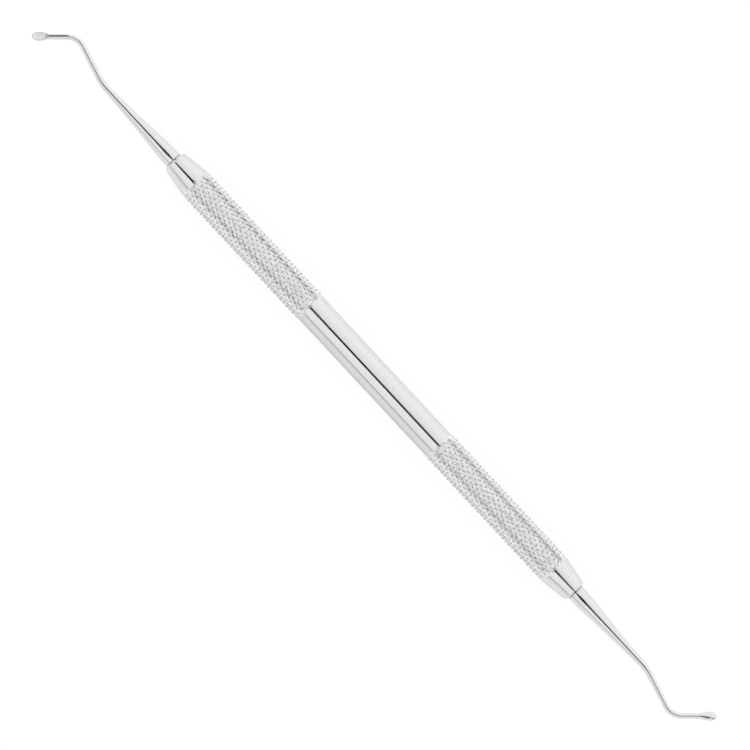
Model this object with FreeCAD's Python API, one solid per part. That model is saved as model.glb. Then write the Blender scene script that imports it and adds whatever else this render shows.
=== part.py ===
import FreeCAD
import Part

import math
import os

# Spoon excavator with two working ends, in millimetres.
# The handle's axis is the X axis, its middle is the origin, and Z points up.
# Both shanks are bent in the XY plane, so the instrument lies flat.

# Handle: one turned bar with a plain middle, two knurled bands and a cone at each end.
grip_diameter = 6.0
plain_length = 34.0
knurl_length = 31.0
cone_length = 5.5
cone_large_diameter = 6.15
collar_diameter = 4.6
collar_face_diameter = 3.5
collar_chamfer_length = 0.38

# Knurling: crossed helical V grooves that leave pointed diamonds.
knurl_peak_diameter = 6.3
knurl_depth = 0.28
knurl_pitch = 0.8
knurl_angle = 30.0

# Tang joint: a round tang seats in a drilled bore, shoulder against collar.
tang_diameter = 2.4
tang_length = 12.0
tang_chamfer = 0.3
tang_clearance = 0.02
bore_end_gap = 0.8
drill_point_angle = 118.0

# Shank: a straight root, a hollow taper and two bends.
root_diameter = 3.2
root_length = 1.8
taper_angle = 4.4
neck_diameter = 1.3
shank_length = 19.2
first_bend_angle = 15.8
first_bend_radius = 10.0
arm_length = 9.54
knee_angle = 62.4
knee_radius = 3.35
knee_diameter = 1.12
stem_end_diameter = 0.98
stem_reach = 8.4

# Spoon: an egg-shaped bulb with a hollow-ground face and a convex back.
spoon_length = 3.35
spoon_width = 1.76
spoon_back_depth = 0.62
spoon_rise = 0.12
spoon_nose_length = 1.44
spoon_roll = 26.0
face_hollow_radius = 4.0
face_lowest_from_tip = 1.42
face_lowest_height = 0.06

# Places that follow from the sizes above.
handle_end = plain_length / 2 + knurl_length + cone_length
knurl_count = round(math.pi * knurl_peak_diameter
                    * math.cos(math.radians(knurl_angle)) / knurl_pitch)
peak_step_angle = 180.0 / knurl_count

x_axis = FreeCAD.Vector(1, 0, 0)
z_axis = FreeCAD.Vector(0, 0, 1)
origin = FreeCAD.Vector(0, 0, 0)


def turned(outline):
    """Solid turned about the X axis from (x, radius) points, closed along the axis."""
    points = [FreeCAD.Vector(x, radius, 0) for x, radius in outline]
    face = Part.Face(Part.makePolygon(points + points[:1]))
    return face.revolve(origin, x_axis, 360)


def diamond_band(start):
    """Knurled length of bar from start, with one pyramid to each diamond."""
    peak = knurl_peak_diameter / 2
    valley = peak - knurl_depth
    around = 2 * knurl_count
    diamond_width = math.pi * knurl_peak_diameter / knurl_count
    half_diamond = diamond_width / math.tan(math.radians(knurl_angle)) / 2
    rows = max(4, round(knurl_length / half_diamond))
    corners = []
    for row in range(rows + 1):
        for column in range(around):
            inside = 0 < row < rows
            radius = peak if inside and (row + column) % 2 == 0 else valley
            angle = math.radians((column + 0.5) * peak_step_angle - 90)
            corners.append(FreeCAD.Vector(start + row * knurl_length / rows,
                                          radius * math.cos(angle), radius * math.sin(angle)))
    triangles = []
    for row in range(rows):
        for column in range(around):
            near = row * around + column
            near_next = row * around + (column + 1) % around
            far = near + around
            far_next = near_next + around
            if (row + column) % 2 == 0:
                triangles.append((near, near_next, far))
                triangles.append((far_next, far, near_next))
            else:
                triangles.append((near, near_next, far_next))
                triangles.append((near, far_next, far))
    sides = Part.Shape()
    sides.makeShapeFromMesh((corners, triangles), 0.001)
    rims = [corners[:around], corners[-around:]]
    ends = [Part.Face(Part.makePolygon(rim + rim[:1])) for rim in rims]
    shell = Part.Shell(sides.Faces + ends)
    shell.sewShape()
    band = Part.Solid(Part.Shell(shell.Faces))
    if band.Volume < 0:
        band.reverse()
    return band


def cone_end():
    """Cone at the +X end of the handle, with its chamfered collar."""
    start = plain_length / 2 + knurl_length
    return turned([
        (start, 0),
        (start, cone_large_diameter / 2),
        (handle_end - collar_chamfer_length, collar_diameter / 2),
        (handle_end, collar_face_diameter / 2),
        (handle_end, 0),
    ])


def tang_bore():
    """Blind bore at the +X end of the handle, with the cone that the drill leaves."""
    radius = tang_diameter / 2 + tang_clearance
    bottom = handle_end - tang_length - bore_end_gap
    point = radius / math.tan(math.radians(drill_point_angle / 2))
    return turned([
        (bottom - point, 0),
        (bottom, radius),
        (handle_end, radius),
        (handle_end, 0),
    ])


def turned_over(shape):
    """The same shape at the -X end, half a turn about Z."""
    copy = shape.copy()
    copy.rotate(origin, z_axis, 180)
    return copy


def handle():
    """The whole handle, from its plain middle out to both collars."""
    middle = Part.makeCylinder(grip_diameter / 2, plain_length,
                               FreeCAD.Vector(-plain_length / 2, 0, 0), x_axis)
    band = diamond_band(plain_length / 2)
    cone = cone_end()
    bar = middle.fuse([band, cone, turned_over(band), turned_over(cone)])
    bore = tang_bore()
    return bar.cut([bore, turned_over(bore)])


def arc(start, end, turn):
    """Arc in the XY plane that turns through the given degrees, to the left where positive."""
    chord = end - start
    left = z_axis.cross(chord).normalize()
    bulge = chord.Length / 2 * math.tan(math.radians(turn / 4))
    return Part.Arc(start, (start + end) / 2 - left * bulge, end).toShape()


def shank():
    """Tang, straight root and hollow taper, out to the start of the first bend."""
    tang_radius = tang_diameter / 2
    root_radius = root_diameter / 2
    tang_end = handle_end - tang_length
    taper_start = handle_end + root_length
    taper_end = handle_end + shank_length - first_bend_run()
    line = [
        FreeCAD.Vector(taper_end, neck_diameter / 2, 0),
        FreeCAD.Vector(taper_end, 0, 0),
        FreeCAD.Vector(tang_end, 0, 0),
        FreeCAD.Vector(tang_end, tang_radius - tang_chamfer, 0),
        FreeCAD.Vector(tang_end + tang_chamfer, tang_radius, 0),
        FreeCAD.Vector(handle_end, tang_radius, 0),
        FreeCAD.Vector(handle_end, root_radius, 0),
        FreeCAD.Vector(taper_start, root_radius, 0),
    ]
    drop = root_radius - neck_diameter / 2
    mean_angle = math.degrees(math.atan2(drop, taper_end - taper_start))
    edges = [Part.makeLine(a, b) for a, b in zip(line, line[1:])]
    edges.append(arc(line[-1], line[0], 2 * (taper_angle - mean_angle)))
    return Part.Face(Part.Wire(edges)).revolve(origin, x_axis, 360)


def first_bend_run():
    """Length from the first bend's arc to its corner point."""
    return first_bend_radius * math.tan(math.radians(first_bend_angle / 2))


def knee_run():
    """Length from the knee's arc to its corner point."""
    return knee_radius * math.tan(math.radians(knee_angle / 2))


def rod(start, direction, length, start_diameter, end_diameter):
    """Round rod, tapered where its two diameters differ."""
    if abs(start_diameter - end_diameter) < 1e-6:
        return Part.makeCylinder(start_diameter / 2, length, start, direction)
    cone = Part.makeCone(start_diameter / 2, end_diameter / 2, length, start, direction)
    return cone.toNurbs()


def bent_rod(start, direction, radius, turn, diameter):
    """Round rod bent in the XY plane through turn degrees, to the left where turn is positive."""
    side = z_axis.cross(direction) * math.copysign(1, turn)
    section = Part.Face(Part.Wire(Part.makeCircle(diameter / 2, start, direction)))
    return section.revolve(start + side * radius, z_axis * math.copysign(1, turn), abs(turn))


def heading(degrees):
    """Unit vector in the XY plane."""
    return FreeCAD.Vector(math.cos(math.radians(degrees)), math.sin(math.radians(degrees)), 0)


def spoon_nose():
    """Half ellipsoid from the spoon's widest place to its tip."""
    half_ball = Part.makeSphere(1, origin, z_axis, -90, 90, 180)
    half_ball.rotate(origin, z_axis, -90)
    stretch = FreeCAD.Matrix()
    stretch.scale(spoon_nose_length, spoon_width / 2, spoon_back_depth)
    nose = half_ball.transformGeometry(stretch)
    nose.translate(FreeCAD.Vector(spoon_length - spoon_nose_length, 0, spoon_rise))
    return nose


def spoon_neck():
    """Loft from the round stem at x = 0 to the oval where the spoon is widest."""
    run = spoon_length - spoon_nose_length
    stem_radius = stem_end_diameter / 2
    steps = 4
    sections = []
    for step in range(steps + 1):
        grown = (1 - math.cos(math.pi * step / steps)) / 2
        half_width = stem_radius + (spoon_width / 2 - stem_radius) * grown
        half_depth = stem_radius + (spoon_back_depth - stem_radius) * grown
        centre = FreeCAD.Vector(run * step / steps, 0, spoon_rise * grown)
        wide = half_width >= half_depth
        long_axis = FreeCAD.Vector(0, 1, 0) if wide else z_axis
        oval = Part.Ellipse(centre + long_axis * max(half_width, half_depth),
                            centre + x_axis.cross(long_axis) * min(half_width, half_depth), centre)
        sections.append(Part.Wire(oval.toShape()))
    return Part.makeLoft(sections, True)


def grinding_wheel():
    """Ball that grinds the hollow face into the spoon."""
    return Part.makeSphere(face_hollow_radius, FreeCAD.Vector(
        spoon_length - face_lowest_from_tip, 0, face_lowest_height + face_hollow_radius))


def working_end():
    """Tang, shank, two bends, stem and spoon at the +X end, with the face turned up."""
    corner = FreeCAD.Vector(handle_end + shank_length, 0, 0)
    arm_way = heading(-first_bend_angle)
    stem_way = heading(knee_angle - first_bend_angle)
    knee_corner = corner + arm_way * arm_length
    arm_start = corner + arm_way * first_bend_run()
    arm_end = knee_corner - arm_way * knee_run()
    stem_start = knee_corner + stem_way * knee_run()
    stem_end = knee_corner + stem_way * (stem_reach - spoon_length)
    nose, neck, wheel = spoon_nose(), spoon_neck(), grinding_wheel()
    for shape in (nose, neck, wheel):
        shape.rotate(origin, x_axis, spoon_roll)
        shape.rotate(origin, z_axis, knee_angle - first_bend_angle)
        shape.translate(stem_end)
    pieces = [
        bent_rod(corner - x_axis * first_bend_run(), x_axis,
                 first_bend_radius, -first_bend_angle, neck_diameter),
        rod(arm_start, arm_way, arm_start.distanceToPoint(arm_end),
            neck_diameter, knee_diameter),
        bent_rod(arm_end, arm_way, knee_radius, knee_angle, knee_diameter),
        rod(stem_start, stem_way, stem_start.distanceToPoint(stem_end),
            knee_diameter, stem_end_diameter),
        neck,
        nose,
    ]
    return shank().fuse(pieces).cut(wheel)


def save(shape, name):
    """Write one piece as a STEP file."""
    print(name, shape.ShapeType, "solids", len(shape.Solids), "faces", len(shape.Faces),
          "valid", shape.isValid(), "volume", round(shape.Volume, 3))
    shape.exportStep("parts/" + name + ".step")


os.makedirs("parts", exist_ok=True)
end = working_end()
save(handle(), "handle")
save(turned_over(end), "left_spoon_end")
save(end.mirror(origin, z_axis), "right_spoon_end")
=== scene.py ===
import math

import bmesh
import bpy
from mathutils import Matrix, Vector


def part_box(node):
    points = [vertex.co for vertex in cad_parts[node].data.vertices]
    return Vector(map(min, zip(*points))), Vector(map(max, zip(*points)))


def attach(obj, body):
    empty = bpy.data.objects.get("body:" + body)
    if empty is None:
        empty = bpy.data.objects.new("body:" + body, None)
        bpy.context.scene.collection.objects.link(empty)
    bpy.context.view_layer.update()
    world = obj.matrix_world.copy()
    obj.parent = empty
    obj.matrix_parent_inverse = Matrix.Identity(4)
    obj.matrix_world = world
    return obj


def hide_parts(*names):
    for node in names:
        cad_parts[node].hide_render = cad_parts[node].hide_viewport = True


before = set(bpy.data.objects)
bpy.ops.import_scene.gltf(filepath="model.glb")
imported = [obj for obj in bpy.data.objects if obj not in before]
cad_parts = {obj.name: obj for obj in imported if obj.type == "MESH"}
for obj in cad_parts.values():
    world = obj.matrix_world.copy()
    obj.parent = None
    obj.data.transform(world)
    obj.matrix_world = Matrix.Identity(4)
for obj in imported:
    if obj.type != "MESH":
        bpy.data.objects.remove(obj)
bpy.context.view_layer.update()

bl_info = {
    "name": "Dental spoon excavator",
    "version": (1, 0, 0),
    "blender": (4, 5, 0),
    "location": "View3D > Sidebar > Excavator",
    "description": "Builds a knurled handle with a spoon blade at each end, and its stage",
    "category": "Add Mesh",
}

# Lengths are in metres, in the shared frame: X along the handle, Z up.
MM = 0.001
DEGREE = math.pi / 180

# Turn of the camera, so that the handle lies across the picture.
PICTURE_TURN = 47.05 * DEGREE

# Places of the materials on the handle and on a shank.
POLISHED = 0
KNURLED = 1
GROUND = 1
SEAM = 2

# Mesh steps to half a diamond, along a shank, along the ground face and along the tip past it.
KNURL_STEPS = 4
SHANK_STEPS = 150
FACE_STEPS = 44
TIP_STEPS = 8
# Mesh steps from a shank's last section to the ground face, round its back and across the face.
LEAD_STEPS = 3
BACK_STEPS = 40
ACROSS_STEPS = 12
# Times that a search for an edge halves its range.
HALVINGS = 40


def length(name, description, millimetres):
    """Length property whose default is given in millimetres."""
    return bpy.props.FloatProperty(name=name, description=description,
                                   default=millimetres * MM, min=0, unit="LENGTH", precision=5)


def angle(name, description, degrees):
    """Angle property whose default is given in degrees."""
    return bpy.props.FloatProperty(name=name, description=description,
                                   default=degrees * DEGREE, subtype="ANGLE")


class HandleSizes(bpy.types.PropertyGroup):
    """Sizes of the turned and knurled handle"""
    end: bpy.props.FloatProperty(name="Half length", description="Middle to a collar's face",
                                 default=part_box("handle")[1].x, unit="LENGTH", precision=5)
    grip_diameter: length("Grip diameter", "Plain middle, across", 6.0)
    plain_length: length("Plain length", "Plain middle between the knurled bands", 34.0)
    knurl_length: length("Knurl length", "One knurled band", 31.0)
    knurl_peak_diameter: length("Knurl diameter", "Over the tips of the diamonds", 6.3)
    knurl_depth: length("Knurl depth", "From a diamond's tip to the groove", 0.28)
    knurl_count: bpy.props.IntProperty(name="Diamonds around", description="Diamonds in one ring",
                                       default=21, min=8)
    knurl_rows: bpy.props.IntProperty(name="Half diamonds along",
                                      description="Half diamonds in one band's length",
                                      default=38, min=4)
    cone_large_diameter: length("Cone diameter", "Cone where it leaves the knurling", 6.15)
    collar_diameter: length("Collar diameter", "Cone's small end, before its bevel", 4.6)
    collar_face_diameter: length("Collar face", "Flat face round the shank", 3.5)
    collar_bevel: length("Collar bevel", "Length of the bevel along the handle", 0.38)


class ShankSizes(bpy.types.PropertyGroup):
    """Sizes of the tapered and twice bent shanks"""
    root_diameter: length("Root diameter", "Shank at the collar", 3.22)
    root_length: length("Root length", "Straight part at the collar", 0.5)
    seam_width: length("Seam width", "Gap between the collar and the shank", 0.09)
    swell_length: length("Swell length", "Rounded shoulder after the root", 3.9)
    taper_angle: angle("Taper angle", "Steepest slope of the hollow taper", 4.8)
    neck_diameter: length("Neck diameter", "Where the first bend starts", 1.3)
    shank_length: length("Shank length", "Collar to the first bend's corner", 19.2)
    first_bend: angle("First bend", "Turn of the first bend", 15.8)
    first_radius: length("First radius", "Radius of the first bend", 10.0)
    arm_length: length("Arm length", "First bend's corner to the knee's corner", 9.54)
    knee: angle("Knee", "Turn of the knee", 62.4)
    knee_radius: length("Knee radius", "Radius of the knee", 3.35)
    knee_diameter: length("Knee diameter", "Rod at the knee", 1.07)
    thin_offset: length("Thin offset", "Bent rod's middle to where it has the knee's diameter", 2.9)
    stem_diameter: length("Stem diameter", "Rod where the spoon starts", 0.98)
    stem_reach: length("Stem reach", "Knee's corner to the spoon's tip", 8.4)


class SpoonSizes(bpy.types.PropertyGroup):
    """Sizes of the spoon blades"""
    spoon_length: length("Spoon length", "Stem to tip", 3.35)
    width: length("Spoon width", "Widest place of the bulb", 1.76)
    back_depth: length("Back depth", "Half thickness of the bulb", 0.62)
    rise: length("Rise", "Bulb's centre above the stem's", 0.12)
    nose_length: length("Nose length", "Widest place to tip", 1.44)
    roll: angle("Roll", "Turn of the face about the stem", 26.0)
    hollow_radius: length("Hollow radius", "Radius of the hollow face", 4.0)
    lowest_from_tip: length("Lowest from tip", "Tip to the face's lowest place", 1.42)
    lowest_height: length("Lowest height", "Face's lowest place above the stem's axis", 0.06)
    # The ground face's edge carries a painted shade this wide.
    rim_shade_width: length("Rim width", "Darker edge round the ground face", 0.16)


class SteelLook(bpy.types.PropertyGroup):
    """Colours of the steel and of the stage"""
    polished: bpy.props.StringProperty(name="Polished steel", description="sRGB hex colour",
                                       default="F1F1F2")
    knurled: bpy.props.StringProperty(name="Knurled steel", description="sRGB hex colour",
                                      default="FCFCFC")
    ground: bpy.props.StringProperty(name="Ground face", description="sRGB hex colour",
                                     default="FFFFFF")
    table: bpy.props.StringProperty(name="Table", description="sRGB hex colour", default="FCFCFC")


def linear(hex_colour):
    """Linear colour, with alpha, of an sRGB hex value."""
    parts = [int(hex_colour[place:place + 2], 16) / 255 for place in (0, 2, 4)]
    return [part / 12.92 if part <= 0.04045 else ((part + 0.055) / 1.055) ** 2.4
            for part in parts] + [1.0]


def darker(colour, share):
    """Share of a linear colour's light, with its alpha at 1."""
    return [part * share for part in colour[:3]] + [1.0]


def add(tree, kind, settings=(), links=()):
    """Node of a kind, with its attributes or sockets set and its inputs linked."""
    node = tree.nodes.new(kind)
    for name, value in dict(settings).items():
        if isinstance(name, str) and hasattr(node, name):
            setattr(node, name, value)
        else:
            node.inputs[name].default_value = value
    for socket, source in dict(links).items():
        tree.links.new(source, node.inputs[socket])
    return node


def new_material(name):
    """Empty material with its node tree and its output node."""
    material = bpy.data.materials.new(name)
    material.use_nodes = True
    tree = material.node_tree
    tree.nodes.clear()
    return material, tree, tree.nodes.new("ShaderNodeOutputMaterial")


def ramp(node, stops):
    """Set a colour ramp's stops from (place, colour) pairs."""
    band = node.color_ramp
    while len(band.elements) < len(stops):
        band.elements.new(1.0)
    for element, (place, colour) in zip(band.elements, stops):
        element.position = place
        element.color = colour
    return node


def polished_stainless(look):
    """Stainless steel, lathe turned and polished: bright, with a faint grain round the bar."""
    material, tree, output = new_material("polished_stainless_steel")
    place = add(tree, "ShaderNodeTexCoord")
    # Polishing lines run round the bar, drawn 0.25 mm apart so that they show, and 17 mm long.
    apart, run = 0.25 * MM, 16.67 * MM
    stretch = add(tree, "ShaderNodeMapping", {"Scale": (1 / apart, 1 / run, 1 / run)},
                  {"Vector": place.outputs["Object"]})
    grain = add(tree, "ShaderNodeTexNoise", {"Scale": 1.0, "Detail": 2.0},
                {"Vector": stretch.outputs[0]})
    # Clouds 6 mm across where the polish is a little uneven.
    cloud = add(tree, "ShaderNodeTexNoise", {"Scale": 1 / (6 * MM), "Detail": 2.0},
                {"Vector": place.outputs["Object"]})
    sheen = add(tree, "ShaderNodeMapRange", {"From Min": 0.3, "From Max": 0.7,
                                             "To Min": 0.07, "To Max": 0.13},
                {"Value": cloud.outputs["Fac"]})
    bump = add(tree, "ShaderNodeBump", {"Strength": 0.12, "Distance": 0.002 * MM},
               {"Height": grain.outputs["Fac"]})
    bright = linear(look.polished)
    lined = darker(bright, 0.95)
    colour = ramp(add(tree, "ShaderNodeValToRGB", {}, {"Fac": grain.outputs["Fac"]}),
                  [(0.35, lined), (0.6, bright)])
    shader = add(tree, "ShaderNodeBsdfPrincipled", {"Metallic": 1.0},
                 {"Base Color": colour.outputs["Color"], "Roughness": sheen.outputs[0],
                  "Normal": bump.outputs[0]})
    tree.links.new(shader.outputs[0], output.inputs["Surface"])
    return material


def knurled_stainless(look, sizes):
    """Rolled stainless knurling: grey worn tips between grooves that keep their shine."""
    material, tree, output = new_material("knurled_stainless_steel")
    place = add(tree, "ShaderNodeTexCoord")
    across = add(tree, "ShaderNodeVectorMath", {"operation": "MULTIPLY", 1: (0, 1, 1)},
                 {0: place.outputs["Object"]})
    radius = add(tree, "ShaderNodeVectorMath", {"operation": "LENGTH"}, {0: across.outputs[0]})
    tip = sizes.knurl_peak_diameter / 2
    height = add(tree, "ShaderNodeMapRange",
                 {"From Min": tip - sizes.knurl_depth, "From Max": tip},
                 {"Value": radius.outputs["Value"]})
    bright = linear(look.knurled)
    worn = darker(bright, 0.4)
    colour = ramp(add(tree, "ShaderNodeValToRGB", {}, {"Fac": height.outputs[0]}),
                  [(0.5, bright), (0.85, worn)])
    # The wear fades over the last diamonds, from 1.3 to 0.3 mm before each end of a band.
    along = add(tree, "ShaderNodeSeparateXYZ", {}, {0: place.outputs["Object"]})
    out = add(tree, "ShaderNodeMath", {"operation": "ABSOLUTE"}, {0: along.outputs["X"]})
    middle = (sizes.plain_length + sizes.knurl_length) / 2
    shift = add(tree, "ShaderNodeMath", {"operation": "SUBTRACT", 1: middle}, {0: out.outputs[0]})
    away = add(tree, "ShaderNodeMath", {"operation": "ABSOLUTE"}, {0: shift.outputs[0]})
    fresh = add(tree, "ShaderNodeMapRange", {"From Min": sizes.knurl_length / 2 - 1.3 * MM,
                                             "From Max": sizes.knurl_length / 2 - 0.3 * MM},
                {"Value": away.outputs[0]})
    colour = add(tree, "ShaderNodeMix", {"data_type": "RGBA", 7: bright},
                 {0: fresh.outputs[0], 6: colour.outputs["Color"]})
    # Grime and small dents 0.3 mm across, so no two diamonds are quite alike.
    speck = add(tree, "ShaderNodeTexNoise", {"Scale": 1 / (0.3 * MM), "Detail": 2.0},
                {"Vector": place.outputs["Object"]})
    grime = ramp(add(tree, "ShaderNodeValToRGB", {}, {"Fac": speck.outputs["Fac"]}),
                 [(0.26, linear("ACACAC")), (0.46, (1, 1, 1, 1))])
    specked = add(tree, "ShaderNodeMix", {"data_type": "RGBA", "blend_type": "MULTIPLY", 0: 1.0},
                  {6: colour.outputs[2], 7: grime.outputs["Color"]})
    shine = add(tree, "ShaderNodeMapRange", {"To Min": 0.24, "To Max": 0.34},
                {"Value": height.outputs[0]})
    dents = add(tree, "ShaderNodeBump", {"Strength": 1.0, "Distance": 0.015 * MM},
                {"Height": speck.outputs["Fac"]})
    shader = add(tree, "ShaderNodeBsdfPrincipled", {"Metallic": 1.0},
                 {"Base Color": specked.outputs[2], "Roughness": shine.outputs[0],
                  "Normal": dents.outputs[0]})
    tree.links.new(shader.outputs[0], output.inputs["Surface"])
    return material


def ground_stainless(look, shank, spoon, start):
    """Stainless steel ground on a wheel: matt, with scratches along the spoon, and painted shade
    next to the stem and round the face's edge.
    """
    material, tree, output = new_material("ground_stainless_steel")
    place = add(tree, "ShaderNodeTexCoord")
    # The grinding lines follow the stems, which both bends have turned from the handle.
    stem_turn = shank.knee - shank.first_bend
    turn = add(tree, "ShaderNodeMapping", {"vector_type": "TEXTURE",
                                           "Rotation": (0, 0, stem_turn)},
               {"Vector": place.outputs["Object"]})
    # Grit lines 0.07 mm apart and about 5 mm long.
    apart, run = 0.07 * MM, 5 * MM
    stretch = add(tree, "ShaderNodeMapping", {"Scale": (1 / run, 1 / apart, 1 / apart)},
                  {"Vector": turn.outputs[0]})
    grain = add(tree, "ShaderNodeTexNoise", {"Scale": 1.0, "Detail": 3.0},
                {"Vector": stretch.outputs[0]})
    pale = linear(look.ground)
    lines = ramp(add(tree, "ShaderNodeValToRGB", {}, {"Fac": grain.outputs["Fac"]}),
                 [(0.3, darker(pale, 0.94)), (0.7, pale)])
    # Painted shade: the face is darker next to the stem, to 0.5 mm from it, and that fades over
    # 0.65 mm more.
    along = add(tree, "ShaderNodeSeparateXYZ", {}, {0: turn.outputs[0]})
    out = add(tree, "ShaderNodeMath", {"operation": "ABSOLUTE"}, {0: along.outputs["X"]})
    runs = shank_path(shank, spoon.spoon_length)
    root, _ = travel(runs, path_length(runs), Vector((start, 0, 0)))
    spoon_start = root.x * math.cos(stem_turn) + root.y * math.sin(stem_turn)
    clear_of_stem_shade = add(tree, "ShaderNodeMapRange", {"From Min": spoon_start + 0.5 * MM,
                                            "From Max": spoon_start + 1.15 * MM},
               {"Value": out.outputs[0]})
    colour = add(tree, "ShaderNodeMix", {"data_type": "RGBA", 6: linear("C4C4C4")},
                 {0: clear_of_stem_shade.outputs[0], 7: lines.outputs["Color"]})
    # Painted shade along a darker edge round the face, which the mesh marks.
    rim = add(tree, "ShaderNodeAttribute", {"attribute_name": "rim"})
    rim_shaded_colour = add(tree, "ShaderNodeMix", {"data_type": "RGBA", 7: linear("BEBEBE")},
                {0: rim.outputs["Fac"], 6: colour.outputs[2]})
    bump = add(tree, "ShaderNodeBump", {"Strength": 0.4, "Distance": 0.01 * MM},
               {"Height": grain.outputs["Fac"]})
    shader = add(tree, "ShaderNodeBsdfPrincipled", {"Metallic": 1.0, "Roughness": 0.7},
                 {"Base Color": rim_shaded_colour.outputs[2], "Normal": bump.outputs[0]})
    tree.links.new(shader.outputs[0], output.inputs["Surface"])
    return material


def seam_shadow():
    """Tarnished steel in the narrow gap at the collar, with the gap's shade painted in: dark and
    dull, past the polish's reach.
    """
    material, tree, output = new_material("tarnished_and_shaded_seam_steel")
    place = add(tree, "ShaderNodeTexCoord")
    # Specks of tarnish 0.2 mm across.
    speck = add(tree, "ShaderNodeTexNoise", {"Scale": 1 / (0.2 * MM), "Detail": 2.0},
                {"Vector": place.outputs["Object"]})
    # The dark colour is partly tarnish and partly painted shade in the gap.
    colour = ramp(add(tree, "ShaderNodeValToRGB", {}, {"Fac": speck.outputs["Fac"]}),
                  [(0.35, linear("4A4A4A")), (0.65, linear("767472"))])
    shader = add(tree, "ShaderNodeBsdfPrincipled", {"Metallic": 1.0, "Roughness": 0.6},
                 {"Base Color": colour.outputs["Color"]})
    tree.links.new(shader.outputs[0], output.inputs["Surface"])
    return material


def rounded(corners, steps=4):
    """Points of an (x, radius, rounding) outline with each corner turned into a small curve."""
    # A point a little beyond each end of a curve keeps the shading beside it flat.
    beyond = 1.6
    points = []
    for index, (x, radius, rounding) in enumerate(corners):
        corner = Vector((x, radius))
        if not rounding:
            points.append(corner)
            continue
        before = (Vector(corners[index - 1][:2]) - corner).normalized() * rounding
        after = (Vector(corners[index + 1][:2]) - corner).normalized() * rounding
        points.append(corner + before * beyond)
        for step in range(steps + 1):
            share = step / steps
            points.append(corner + before * (1 - share) ** 2 + after * share ** 2)
        points.append(corner + after * beyond)
    return points


def knurl_height(row, column):
    """Height on the knurling, 0 in a groove and 1 on a tip, from half-diamond counts."""
    # Above 1 the flanks are a little full and the tips blunt.
    fullness = 1.15
    ways = [abs((row + column) / 2 % 1 - 0.5) * 2, abs((row - column) / 2 % 1 - 0.5) * 2]
    return 1 - (1 - min(ways)) ** fullness


def new_piece(name, mesh, materials, node):
    """Object for a mesh, dressed, riding on the root and standing for its CAD node."""
    for material in materials:
        mesh.materials.append(material)
    piece = bpy.data.objects.new(name, mesh)
    bpy.context.scene.collection.objects.link(piece)
    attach(piece, "root")
    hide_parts(node)
    return piece


def handle_stations(sizes):
    """(x, bar's radius, knurl row) of the rings of the handle's +X half, row None off the band."""
    grip, cone = sizes.grip_diameter / 2, sizes.cone_large_diameter / 2
    band_start = sizes.plain_length / 2
    band_end = band_start + sizes.knurl_length
    # Rings just off both ends of the band keep the shading beside it flat.
    before, after = 0.25 * MM, 0.1 * MM
    cone_drop = 0.01 * MM
    stations = [(band_start - before, grip, None)]
    steps = sizes.knurl_rows * KNURL_STEPS
    for step in range(steps + 1):
        row = step / KNURL_STEPS
        bar = grip if row < sizes.knurl_rows / 2 else cone
        stations.append((band_start + sizes.knurl_length * step / steps, bar, row))
    bevel_rounding, face_rounding = 0.06 * MM, 0.04 * MM
    stations += [(point.x, point.y, None) for point in rounded([
        (band_end + after, cone - cone_drop, 0),
        (sizes.end - sizes.collar_bevel, sizes.collar_diameter / 2, bevel_rounding),
        (sizes.end, sizes.collar_face_diameter / 2, face_rounding),
        (sizes.end, sizes.collar_face_diameter / 4, 0)])]
    return stations


def run_out(sizes, row, turn):
    """Share of the knurling's height: 0 at a band's end, and 1 past a run-out of uneven length."""
    mean_rows, unevenness = 1.15, 0.35
    rows = mean_rows + unevenness * (math.sin(5 * turn) + math.sin(13 * turn))
    share = min(1, min(row, sizes.knurl_rows - row) / rows)
    return share * share * (3 - 2 * share)


def handle_rings(sizes):
    """Points of the handle's +X half in rings: half the plain middle, a band, a cone, a collar."""
    around = 2 * sizes.knurl_count * KNURL_STEPS
    step_angle = math.pi / sizes.knurl_count
    tip = sizes.knurl_peak_diameter / 2
    rings = []
    for x, bar, row in handle_stations(sizes):
        ring = []
        for index in range(around):
            column = index / KNURL_STEPS
            turn = (column + 0.5) * step_angle - math.pi / 2
            reach = bar
            if row is not None:
                knurled = tip - sizes.knurl_depth * (1 - knurl_height(row, column))
                reach += (knurled - bar) * run_out(sizes, row, turn)
            ring.append((x, reach * math.cos(turn), reach * math.sin(turn)))
        rings.append(ring)
    return rings


def triangulate_along_grooves(bm):
    """Split each knurl face along the diagonal whose ends are nearest in height."""
    for face in list(bm.faces):
        if face.material_index != KNURLED:
            continue
        heights = [math.hypot(vert.co.y, vert.co.z) for vert in face.verts]
        if abs(heights[0] - heights[2]) <= abs(heights[1] - heights[3]):
            bmesh.utils.face_split(face, face.verts[0], face.verts[2])
        else:
            bmesh.utils.face_split(face, face.verts[1], face.verts[3])


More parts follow.
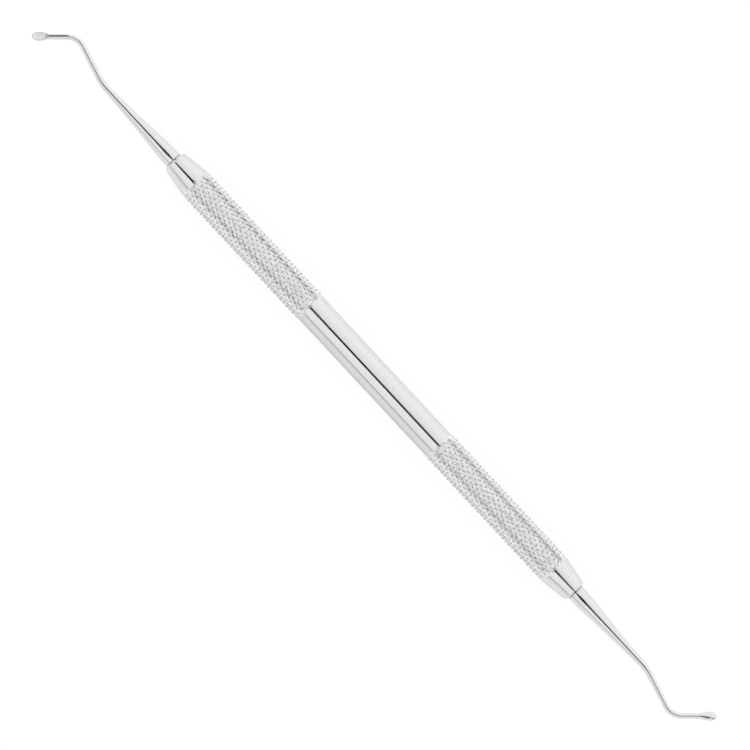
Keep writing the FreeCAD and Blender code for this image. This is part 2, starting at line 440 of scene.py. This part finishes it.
class EXCAVATOR_OT_handle(bpy.types.Operator):
    """Make the handle with its two knurled bands"""
    bl_idname = "excavator.handle"
    bl_label = "Make handle"

    def execute(self, context):
        sizes = context.scene.excavator_handle
        look = context.scene.excavator_look
        half = handle_rings(sizes)
        bm = bmesh.new()
        # The left half is the right one turned over, so its rings run the other way round.
        left = [[bm.verts.new((-x, -y, z)) for x, y, z in ring][::-1] for ring in reversed(half)]
        right = [[bm.verts.new(place) for place in ring] for ring in half]
        rings = align(left, right)
        band_start = sizes.plain_length / 2
        for near, far in zip(rings, rings[1:]):
            middle = abs(near[0].co.x + far[0].co.x) / 2
            knurled = band_start < middle < band_start + sizes.knurl_length
            for index in range(len(near)):
                following = (index + 1) % len(near)
                face = bm.faces.new((near[index], far[index], far[following], near[following]))
                face.material_index = KNURLED if knurled else POLISHED
        bm.faces.new(rings[0])
        bm.faces.new(rings[-1][::-1])
        triangulate_along_grooves(bm)
        bmesh.ops.recalc_face_normals(bm, faces=bm.faces)
        mesh = bpy.data.meshes.new("handle_with_knurling")
        bm.to_mesh(mesh)
        bm.free()
        mesh.shade_smooth()
        mesh.set_sharp_from_angle(angle=25 * DEGREE)
        new_piece("knurled_handle", mesh,
                  [polished_stainless(look), knurled_stainless(look, sizes)],
                  "handle")
        return {"FINISHED"}


def align(left, right):
    """All rings in order, the left ones turned so that they start level with the right ones."""
    target = right[0][0].co
    start = min(range(len(left[-1])), key=lambda index: (
        (left[-1][index].co.y - target.y) ** 2 + (left[-1][index].co.z - target.z) ** 2))
    return [ring[start:] + ring[:start] for ring in left] + right


def shank_path(shank, spoon_length):
    """(length, curvature) of each run of the shank's centre line, from the collar to the spoon."""
    first = shank.first_radius * math.tan(shank.first_bend / 2)
    knee = shank.knee_radius * math.tan(shank.knee / 2)
    return [
        (shank.shank_length - first, 0),
        (shank.first_radius * shank.first_bend, -1 / shank.first_radius),
        (shank.arm_length - first - knee, 0),
        (shank.knee_radius * shank.knee, 1 / shank.knee_radius),
        (shank.stem_reach - knee - spoon_length, 0),
    ]


def path_length(runs):
    """Length of all the runs together."""
    return sum(run for run, _ in runs)


def travel(runs, distance, start):
    """Place and heading after a distance along the runs, the last of which goes on past its end."""
    place, heading = start.copy(), 0.0
    for run, curvature in runs:
        part = min(distance, run) if (run, curvature) != runs[-1] else distance
        if curvature:
            side = Vector((-math.sin(heading), math.cos(heading), 0)) / curvature
            centre = place + side
            place = centre + Matrix.Rotation(part * curvature, 3, "Z") @ (place - centre)
            heading += part * curvature
        else:
            place = place + Vector((math.cos(heading), math.sin(heading), 0)) * part
        distance -= part
        if distance <= 0:
            break
    return place, heading


def shank_radius(shank, distance, total):
    """Radius of the shank at a distance from the collar."""
    root, neck = shank.root_diameter / 2, shank.neck_diameter / 2
    knee, stem = shank.knee_diameter / 2, shank.stem_diameter / 2
    slope = math.tan(shank.taper_angle)
    swell_start = shank.root_length
    taper_start = swell_start + shank.swell_length
    taper_end = shank.shank_length - shank.first_radius * math.tan(shank.first_bend / 2)
    thin_start = (taper_end + total) / 2 + shank.thin_offset
    if distance < swell_start:
        return root
    if distance < taper_start:
        into = distance - swell_start
        return root - into ** 2 * slope / (2 * shank.swell_length)
    if distance < taper_end:
        top = root - shank.swell_length * slope / 2
        run = taper_end - taper_start
        share = (distance - taper_start) / run
        hollow = run * slope - (top - neck)
        return top - run * slope * share + hollow * share ** 2
    if distance < thin_start:
        share = (distance - taper_end) / (thin_start - taper_end)
        return knee + (neck - knee) * (1 - share) ** 2
    return knee + (stem - knee) * (distance - thin_start) / (total - thin_start)


def bulb_section(spoon, stem_radius, place):
    """Half width, half depth and centre height of the bulb at a place from its root."""
    widest = spoon.spoon_length - spoon.nose_length
    if place > widest:
        share = math.sqrt(max(0, 1 - ((place - widest) / spoon.nose_length) ** 2))
        return spoon.width / 2 * share, spoon.back_depth * share, spoon.rise
    grown = (1 - math.cos(math.pi * place / widest)) / 2
    return (stem_radius + (spoon.width / 2 - stem_radius) * grown,
            stem_radius + (spoon.back_depth - stem_radius) * grown, spoon.rise * grown)


def face_height(spoon, place, side):
    """Height of the hollow face above the stem's axis."""
    along = place - (spoon.spoon_length - spoon.lowest_from_tip)
    drop = math.sqrt(spoon.hollow_radius ** 2 - along ** 2 - side ** 2)
    return spoon.lowest_height + spoon.hollow_radius - drop


def rim_angle(spoon, stem_radius, place):
    """Angle from the top of a section to the edge of the ground face, 0 where it has none."""
    half_width, half_depth, height = bulb_section(spoon, stem_radius, place)

    def above(turn):
        top = height + half_depth * math.cos(turn)
        return top - face_height(spoon, place, half_width * math.sin(turn))

    if above(0) <= 0:
        return 0.0
    # The face never reaches further round the back than this.
    furthest = 135 * DEGREE
    low, high = 0.0, furthest
    for _ in range(HALVINGS):
        middle = (low + high) / 2
        low, high = (middle, high) if above(middle) > 0 else (low, middle)
    return low


def face_limits(spoon, stem_radius):
    """Places along the spoon where the ground face starts and ends."""
    limits = []
    widest = spoon.spoon_length - spoon.nose_length
    for inside, outside in ((widest, 0.0), (widest, spoon.spoon_length)):
        for _ in range(HALVINGS):
            middle = (inside + outside) / 2
            cut = rim_angle(spoon, stem_radius, middle) > 0
            inside, outside = (middle, outside) if cut else (inside, middle)
        limits.append(outside)
    return limits


def spoon_ring(spoon, stem_radius, place):
    """(side, height) points of a section: the back from rim to rim, then across the face."""
    half_width, half_depth, height = bulb_section(spoon, stem_radius, place)
    rim = rim_angle(spoon, stem_radius, place)
    points = []
    for step in range(BACK_STEPS + 1):
        turn = rim + (2 * math.pi - 2 * rim) * step / BACK_STEPS
        points.append((half_width * math.sin(turn), height + half_depth * math.cos(turn)))
    reach = half_width * math.sin(rim)
    top = height + half_depth
    for step in range(1, ACROSS_STEPS):
        side = -reach + 2 * reach * step / ACROSS_STEPS
        points.append((side, face_height(spoon, place, side) if rim > 0 else top))
    return points


def seam_stations(shank):
    """(distance, radius) of the shank's rings in the dark groove at the collar."""
    root, width = shank.root_diameter / 2, shank.seam_width
    inside, inside_drop = 0.3 * MM, 0.25 * MM
    depth = 0.12 * MM
    edge_length, edge_drop = 0.03 * MM, 0.01 * MM
    return [(-inside, root - inside_drop), (0.0, root - depth), (width, root - depth),
            (width + edge_length, root - edge_drop)]


def shank_rings(shank, total):
    """(distance, points) of the round sections between the groove and the spoon, groove first."""
    stations = seam_stations(shank)
    past_edge = 0.05 * MM
    start = shank.seam_width + past_edge
    for step in range(1, SHANK_STEPS):
        distance = start + (total - start) * step / SHANK_STEPS
        stations.append((distance, shank_radius(shank, distance, total)))
    turns = [2 * math.pi * step / BACK_STEPS for step in range(BACK_STEPS + 1)]
    rings = []
    for distance, radius in stations:
        points = [(radius * math.sin(turn), radius * math.cos(turn)) for turn in turns]
        # A round section has no face, so the points across it all meet at its top.
        points += [(0, radius)] * (ACROSS_STEPS - 1)
        rings.append((distance, points))
    return rings


def spoon_places(spoon, first, last):
    """Places of the spoon's sections, closest together at both ends of its face and at the tip."""
    places = [first * step / LEAD_STEPS for step in range(LEAD_STEPS + 1)]
    places += [first + (last - first) * (1 - math.cos(math.pi * step / FACE_STEPS)) / 2
               for step in range(1, FACE_STEPS + 1)]
    places += [last + (spoon.spoon_length - last) * math.sin(math.pi / 2 * step / TIP_STEPS)
               for step in range(1, TIP_STEPS + 1)]
    return places


def shank_mesh(shank, spoon, start_x):
    """Mesh of one shank with its spoon at the +X end, face up."""
    runs = shank_path(shank, spoon.spoon_length)
    total = path_length(runs)
    stem_radius = shank.stem_diameter / 2
    first, last = face_limits(spoon, stem_radius)
    rings = shank_rings(shank, total)
    for place in spoon_places(spoon, first, last):
        rings.append((total + place, spoon_ring(spoon, stem_radius, place)))
    start = Vector((start_x, 0, 0))
    cos_roll, sin_roll = math.cos(spoon.roll), math.sin(spoon.roll)
    bm = bmesh.new()
    rim = bm.verts.layers.float.new("rim")
    skins = []
    for distance, points in rings:
        place, heading = travel(runs, distance, start)
        left = Vector((-math.sin(heading), math.cos(heading), 0))
        on_face = distance > total + first
        reach, to_tip = abs(points[0][0]), total + last - distance
        skin = []
        for index, (side, height) in enumerate(points):
            across = side * cos_roll - height * sin_roll
            upward = side * sin_roll + height * cos_roll
            vert = bm.verts.new(place + left * across + Vector((0, 0, upward)))
            # The layer sets the painted shade on the edge: 1 on the rim of the face, falling to 0
            # across the shade's width.
            if on_face and (index == 0 or index >= BACK_STEPS):
                from_edge = min(reach - abs(side), to_tip)
                vert[rim] = min(1, max(0, 1 - from_edge / spoon.rim_shade_width))
            skin.append(vert)
        skins.append(skin)
    seam_bands = len(seam_stations(shank)) - 1
    for order, (near, far) in enumerate(zip(skins, skins[1:])):
        for index in range(len(near)):
            following = (index + 1) % len(near)
            face = bm.faces.new((near[index], near[following], far[following], far[index]))
            if order < seam_bands:
                face.material_index = SEAM
            else:
                face.material_index = GROUND if index >= BACK_STEPS else POLISHED
    bm.faces.new(skins[0][:BACK_STEPS])
    weld = 0.0004 * MM
    bmesh.ops.remove_doubles(bm, verts=bm.verts, dist=weld)
    bmesh.ops.dissolve_degenerate(bm, edges=bm.edges, dist=weld)
    bmesh.ops.recalc_face_normals(bm, faces=bm.faces)
    for edge in bm.edges:
        kinds = {face.material_index for face in edge.link_faces}
        edge.smooth = len(kinds) == 1
    return bm


class EXCAVATOR_OT_spoon_ends(bpy.types.Operator):
    """Make the two shanks with their spoons"""
    bl_idname = "excavator.spoon_ends"
    bl_label = "Make spoon ends"

    def execute(self, context):
        scene = context.scene
        look = scene.excavator_look
        shank, spoon = scene.excavator_shank, scene.excavator_spoon
        start = scene.excavator_handle.end
        materials = [polished_stainless(look), ground_stainless(look, shank, spoon, start),
                     seam_shadow()]
        turned_over = Matrix.Rotation(math.pi, 4, "Z")
        mirrored = Matrix.Scale(-1, 4, Vector((0, 0, 1)))
        for name, node, placing in (("left_shank", "left_spoon_end", turned_over),
                                    ("right_shank", "right_spoon_end", mirrored)):
            bm = shank_mesh(shank, spoon, start)
            bmesh.ops.transform(bm, matrix=placing, verts=bm.verts)
            # Mirroring turns the faces inside out.
            bmesh.ops.recalc_face_normals(bm, faces=bm.faces)
            mesh = bpy.data.meshes.new(name)
            bm.to_mesh(mesh)
            bm.free()
            for polygon in mesh.polygons:
                polygon.use_smooth = True
            new_piece(name, mesh, materials, node)
        return {"FINISHED"}


def tent_walls(tree, tilt):
    """Tones of the tent's walls round the handle."""
    share = add(tree, "ShaderNodeMapRange", {"From Min": -math.pi, "From Max": math.pi},
                {"Value": tilt.outputs[0]})
    # Degrees from straight up, less than nothing towards the handle's -Y side.
    panels = [(-180, "E6E6E6"), (-67, "E6E6E6"), (-64, "9C9C9C"), (-60, "9C9C9C"),
              (-57, "EEEEEE"), (-12, "F8F8F8"), (12, "EAEAEA"), (55, "F8F8F8"),
              (100, "FFFFFF")]
    return ramp(add(tree, "ShaderNodeValToRGB", {}, {"Fac": share.outputs[0]}),
                [((degrees + 180) / 360, linear(tone)) for degrees, tone in panels])


def clear_of_slot(tree, parts, tilt):
    """0 in the slot that is left overhead for the lens, along the handle, and 1 beside it."""
    # Half widths of the slot in degrees, from straight above at 0 to along the handle at 1.
    # A width of less than nothing closes the slot.
    least, most = -1, 19
    widths = [(0.045, 6.9), (0.065, 8.2), (0.1, 12.0), (0.13, 18.0), (0.16, 18.0),
              (0.2, 11.8), (0.26, 11.8), (0.31, 7.6), (0.375, 7.6), (0.41, -1.0)]
    levels = [(spot, (width - least) / (most - least)) for spot, width in widths]
    out = add(tree, "ShaderNodeMath", {"operation": "ABSOLUTE"}, {0: parts.outputs["X"]})
    wide = ramp(add(tree, "ShaderNodeValToRGB", {}, {"Fac": out.outputs[0]}),
                [(spot, (level, level, level, 1)) for spot, level in levels])
    half = add(tree, "ShaderNodeMapRange", {"To Min": least * DEGREE, "To Max": most * DEGREE},
               {"Value": wide.outputs["Color"]})
    # The slot's middle is a little off, towards the handle's -Y side.
    lean, blur = 0.4 * DEGREE, 0.5 * DEGREE
    centred = add(tree, "ShaderNodeMath", {"operation": "ADD", 1: lean}, {0: tilt.outputs[0]})
    off = add(tree, "ShaderNodeMath", {"operation": "ABSOLUTE"}, {0: centred.outputs[0]})
    past = add(tree, "ShaderNodeMath", {"operation": "SUBTRACT"},
               {0: off.outputs[0], 1: half.outputs[0]})
    return add(tree, "ShaderNodeMapRange", {"From Min": -blur, "From Max": blur},
               {"Value": past.outputs[0]})


def dark_stands(tree, place):
    """1 inside each of two dark stands in the tent, behind the left tip and low past the right."""
    turn = add(tree, "ShaderNodeMapping", {"vector_type": "TEXTURE",
                                           "Rotation": (0, 0, PICTURE_TURN)},
               {"Vector": place.outputs["Generated"]})
    facing = add(tree, "ShaderNodeSeparateXYZ", {}, {0: turn.outputs[0]})
    # Each edge of a stand has its axis in the picture's frame and where it fades in.
    stands = [
        [("X", -0.02, -0.05), ("X", -0.38, -0.34), ("Y", 0.45, 0.5),
         ("Z", 0.87, 0.82), ("Z", 0.16, 0.22)],
        [("X", 0.35, 0.42), ("Y", -0.15, -0.22),
         ("Z", 0.76, 0.7), ("Z", 0.37, 0.42)],
    ]
    insides = []
    for edges in stands:
        inside = None
        for side, outer, inner in edges:
            gate = add(tree, "ShaderNodeMapRange", {"From Min": outer, "From Max": inner},
                       {"Value": facing.outputs[side]})
            if inside:
                gate = add(tree, "ShaderNodeMath", {"operation": "MULTIPLY"},
                           {0: inside.outputs[0], 1: gate.outputs[0]})
            inside = gate
        insides.append(inside)
    return insides


class EXCAVATOR_OT_stage(bpy.types.Operator):
    """Make the white table, the light tent round it and the camera"""
    bl_idname = "excavator.stage"
    bl_label = "Make stage"

    def execute(self, context):
        scene = context.scene
        self.make_table(scene)
        self.make_tent(scene)
        self.make_camera(scene)
        scene.view_settings.view_transform = "Standard"
        return {"FINISHED"}

    def make_table(self, scene):
        """White table that the knurled bands lie on; the camera sees it lit from below, and the
        steel mirrors a painted shadow on it.
        """
        material, tree, output = new_material("white_acrylic_table")
        white = linear(scene.excavator_look.table)
        place = add(tree, "ShaderNodeTexCoord")
        parts = add(tree, "ShaderNodeSeparateXYZ", {}, {0: place.outputs["Object"]})
        # Painted shadow that the steel mirrors: the table is dimmer on its -Y side, most near the
        # handle's middle.
        shadow_tone_near_bar = add(tree, "ShaderNodeMapRange", {"From Min": -20 * MM, "From Max": -12 * MM,
                                                 "To Min": 0.82, "To Max": 0.75},
                    {"Value": parts.outputs["Y"]})
        out = add(tree, "ShaderNodeMath", {"operation": "ABSOLUTE"}, {0: parts.outputs["X"]})
        shadow_tone_mid_handle = add(tree, "ShaderNodeMapRange", {"From Min": 40 * MM, "From Max": 50 * MM,
                                               "To Max": 0.89},
                  {"Value": out.outputs[0], "To Min": shadow_tone_near_bar.outputs[0]})
        side = add(tree, "ShaderNodeMapRange", {"From Min": -4 * MM, "From Max": 4 * MM,
                                                "To Max": 0.93},
                   {"Value": parts.outputs["Y"], "To Min": shadow_tone_mid_handle.outputs[0]})
        ray = add(tree, "ShaderNodeLightPath")
        mirrored = add(tree, "ShaderNodeMix", {"data_type": "RGBA", 6: white},
                       {0: ray.outputs["Is Glossy Ray"], 7: side.outputs[0]})
        # The camera sees mostly an even glow, so that the ground is white but keeps soft shadows.
        glow, glow_share = 1.02, 0.88
        matt = add(tree, "ShaderNodeBsdfDiffuse", {}, {"Color": mirrored.outputs[2]})
        lit = add(tree, "ShaderNodeEmission", {"Color": (1, 1, 1, 1), "Strength": glow})
        share = add(tree, "ShaderNodeMath", {"operation": "MULTIPLY", 1: glow_share},
                    {0: ray.outputs["Is Camera Ray"]})
        mixed = add(tree, "ShaderNodeMixShader", {}, {0: share.outputs[0], 1: matt.outputs[0],
                                                      2: lit.outputs[0]})
        tree.links.new(mixed.outputs[0], output.inputs["Surface"])
        mesh = bpy.data.meshes.new("table")
        table_radius = 1.5
        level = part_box("handle")[0].z
        bm = bmesh.new()
        bmesh.ops.create_circle(bm, cap_ends=True, segments=96, radius=table_radius)
        bmesh.ops.translate(bm, vec=(0, 0, level), verts=bm.verts)
        bm.to_mesh(mesh)
        bm.free()
        mesh.materials.append(material)
        table = bpy.data.objects.new("table", mesh)
        scene.collection.objects.link(table)

    def make_tent(self, scene):
        """World as a white tent that the steel mirrors and that the camera sees as plain white."""
        world = bpy.data.worlds.new("light_tent")
        world.use_nodes = True
        tree = world.node_tree
        tree.nodes.clear()
        place = add(tree, "ShaderNodeTexCoord")
        parts = add(tree, "ShaderNodeSeparateXYZ", {}, {0: place.outputs["Generated"]})
        tilt = add(tree, "ShaderNodeMath", {"operation": "ARCTAN2"},
                   {0: parts.outputs["Y"], 1: parts.outputs["Z"]})
        walls = tent_walls(tree, tilt)
        clear = clear_of_slot(tree, parts, tilt)
        dark = linear("0C0C0C")
        tent = add(tree, "ShaderNodeMix", {"data_type": "RGBA", 6: dark},
                   {0: clear.outputs[0], 7: walls.outputs["Color"]})
        for inside in dark_stands(tree, place):
            tent = add(tree, "ShaderNodeMix", {"data_type": "RGBA", 7: dark},
                       {0: inside.outputs[0], 6: tent.outputs[2]})
        ray = add(tree, "ShaderNodeLightPath")
        seen = add(tree, "ShaderNodeMix", {"data_type": "RGBA", 6: (1, 1, 1, 1)},
                   {0: ray.outputs["Is Glossy Ray"], 7: tent.outputs[2]})
        background = add(tree, "ShaderNodeBackground", {"Strength": 1.0},
                         {"Color": seen.outputs[2]})
        add(tree, "ShaderNodeOutputWorld", {}, {"Surface": background.outputs[0]})
        scene.world = world

    def make_camera(self, scene):
        """Camera straight overhead, turned so that the handle lies across the picture."""
        camera = bpy.data.cameras.new("camera")
        camera.lens = 180
        camera.sensor_width = 36
        seen_width = 136.36 * MM
        height = camera.lens / camera.sensor_width * seen_width
        right = Vector((math.cos(PICTURE_TURN), math.sin(PICTURE_TURN), 0))
        up = Vector((-math.sin(PICTURE_TURN), math.cos(PICTURE_TURN), 0))
        shift_right, shift_up = 0.096 * MM, 0.251 * MM
        camera_object = bpy.data.objects.new("camera", camera)
        camera_object.location = right * shift_right + up * shift_up + Vector((0, 0, height))
        camera_object.rotation_euler = (0, 0, PICTURE_TURN)
        camera.clip_start = 0.01
        camera.clip_end = 10
        scene.collection.objects.link(camera_object)
        scene.camera = camera_object


class EXCAVATOR_PT_panel(bpy.types.Panel):
    """Sizes, colours and buttons for the excavator"""
    bl_idname = "EXCAVATOR_PT_panel"
    bl_label = "Dental spoon excavator"
    bl_space_type = "VIEW_3D"
    bl_region_type = "UI"
    bl_category = "Excavator"

    def draw(self, context):
        for operator in OPERATORS:
            self.layout.operator(operator.bl_idname)
        for name in GROUPS:
            box = self.layout.box()
            group = getattr(context.scene, name)
            for key in group.bl_rna.properties.keys():
                if key not in ("rna_type", "name"):
                    box.prop(group, key)


GROUPS = {
    "excavator_handle": HandleSizes,
    "excavator_shank": ShankSizes,
    "excavator_spoon": SpoonSizes,
    "excavator_look": SteelLook,
}
OPERATORS = [EXCAVATOR_OT_handle, EXCAVATOR_OT_spoon_ends, EXCAVATOR_OT_stage]


def register():
    """Register the classes and hang the property groups on the scene."""
    for item in [*GROUPS.values(), *OPERATORS, EXCAVATOR_PT_panel]:
        bpy.utils.register_class(item)
    for name, group in GROUPS.items():
        setattr(bpy.types.Scene, name, bpy.props.PointerProperty(type=group))


def unregister():
    """Take the property groups and the classes away again."""
    for name in GROUPS:
        delattr(bpy.types.Scene, name)
    for item in [EXCAVATOR_PT_panel, *reversed(OPERATORS), *reversed(list(GROUPS.values()))]:
        bpy.utils.unregister_class(item)


def main():
    """Make every piece and the stage."""
    register()
    bpy.ops.excavator.handle()
    bpy.ops.excavator.spoon_ends()
    bpy.ops.excavator.stage()


if __name__ == "__main__":
    main()
